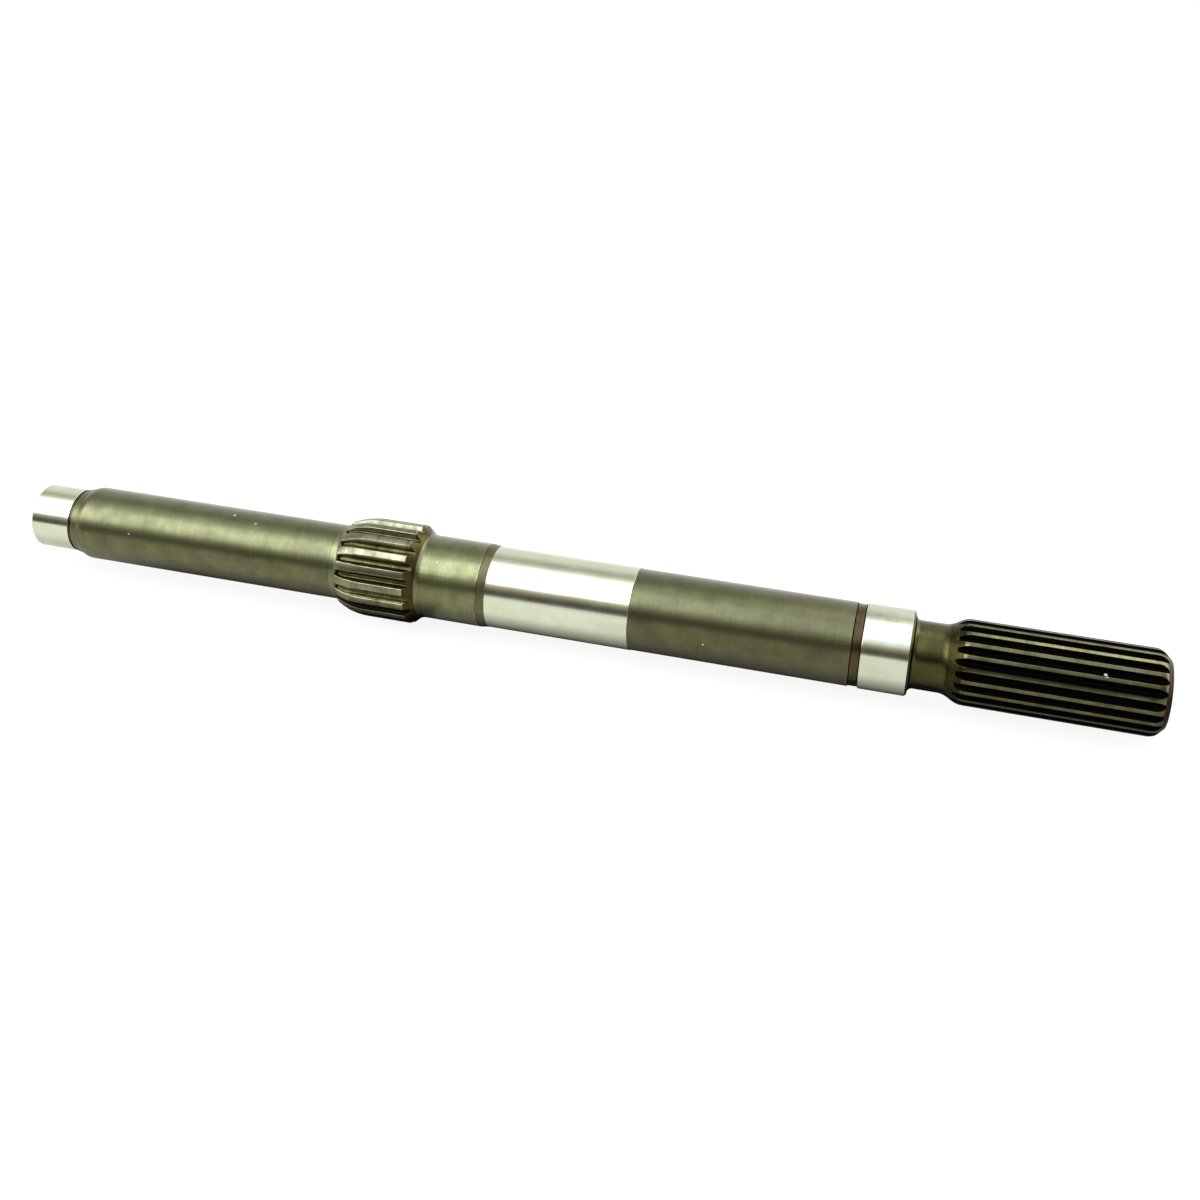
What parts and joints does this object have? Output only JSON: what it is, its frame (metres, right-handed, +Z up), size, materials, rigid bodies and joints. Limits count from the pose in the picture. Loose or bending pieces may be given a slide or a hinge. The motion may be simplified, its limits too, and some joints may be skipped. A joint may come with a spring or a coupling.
{
  "type": "splined shaft",
  "caption": "Solid steel shaft with a short large spline, ground journals and a long involute spline at its front end.",
  "frame": {"origin": "on the shaft's axis, in the middle of the front journal", "axes": "+X along the axis towards the front (long) spline's end, +Z up as the shaft lies at rest"},
  "size_m": [0.4953, 0.043, 0.0432],
  "materials": {
    "steel": "dark olive skin, with brighter ground journals"
  },
  "bodies": {
    "root": {"splined_shaft": "steel"}
  },
  "joints": []
}
